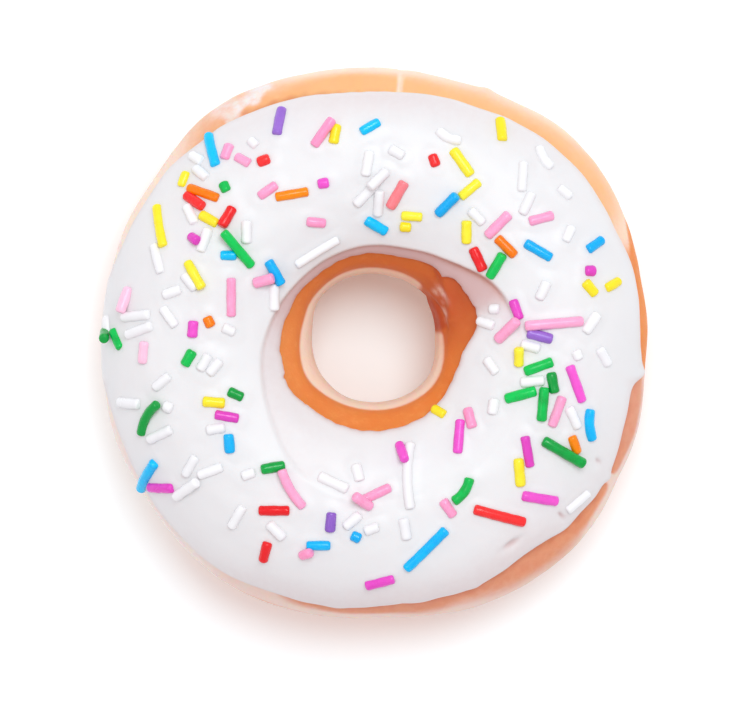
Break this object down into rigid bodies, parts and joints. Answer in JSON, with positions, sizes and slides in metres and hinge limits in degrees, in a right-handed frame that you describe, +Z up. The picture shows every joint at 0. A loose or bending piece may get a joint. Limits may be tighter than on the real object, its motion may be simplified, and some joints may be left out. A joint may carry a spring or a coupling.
{
  "type": "sprinkle frosted doughnut",
  "caption": "Raised ring doughnut with a browned crust, a pale side band and a glossy white icing, scattered with coloured sugar sprinkles.",
  "frame": {"origin": "on the table under the middle of the ring, at the bottom centre of the bounding box", "axes": "+Z up through the hole, the shortest way; +X and +Y lie in the table's plane, with the deepest bare dough round the hole towards +X and a little +Y"},
  "size_m": [0.0908, 0.0916, 0.0326],
  "materials": {
    "dough": "soft browned crust with a pale band",
    "icing": "smooth set icing with a soft gloss",
    "sprinkles": "hard sugar strands in eleven colours, white the commonest"
  },
  "bodies": {
    "root": {"dough_ring": "dough", "white_icing": "icing"}
  },
  "joints": []
}
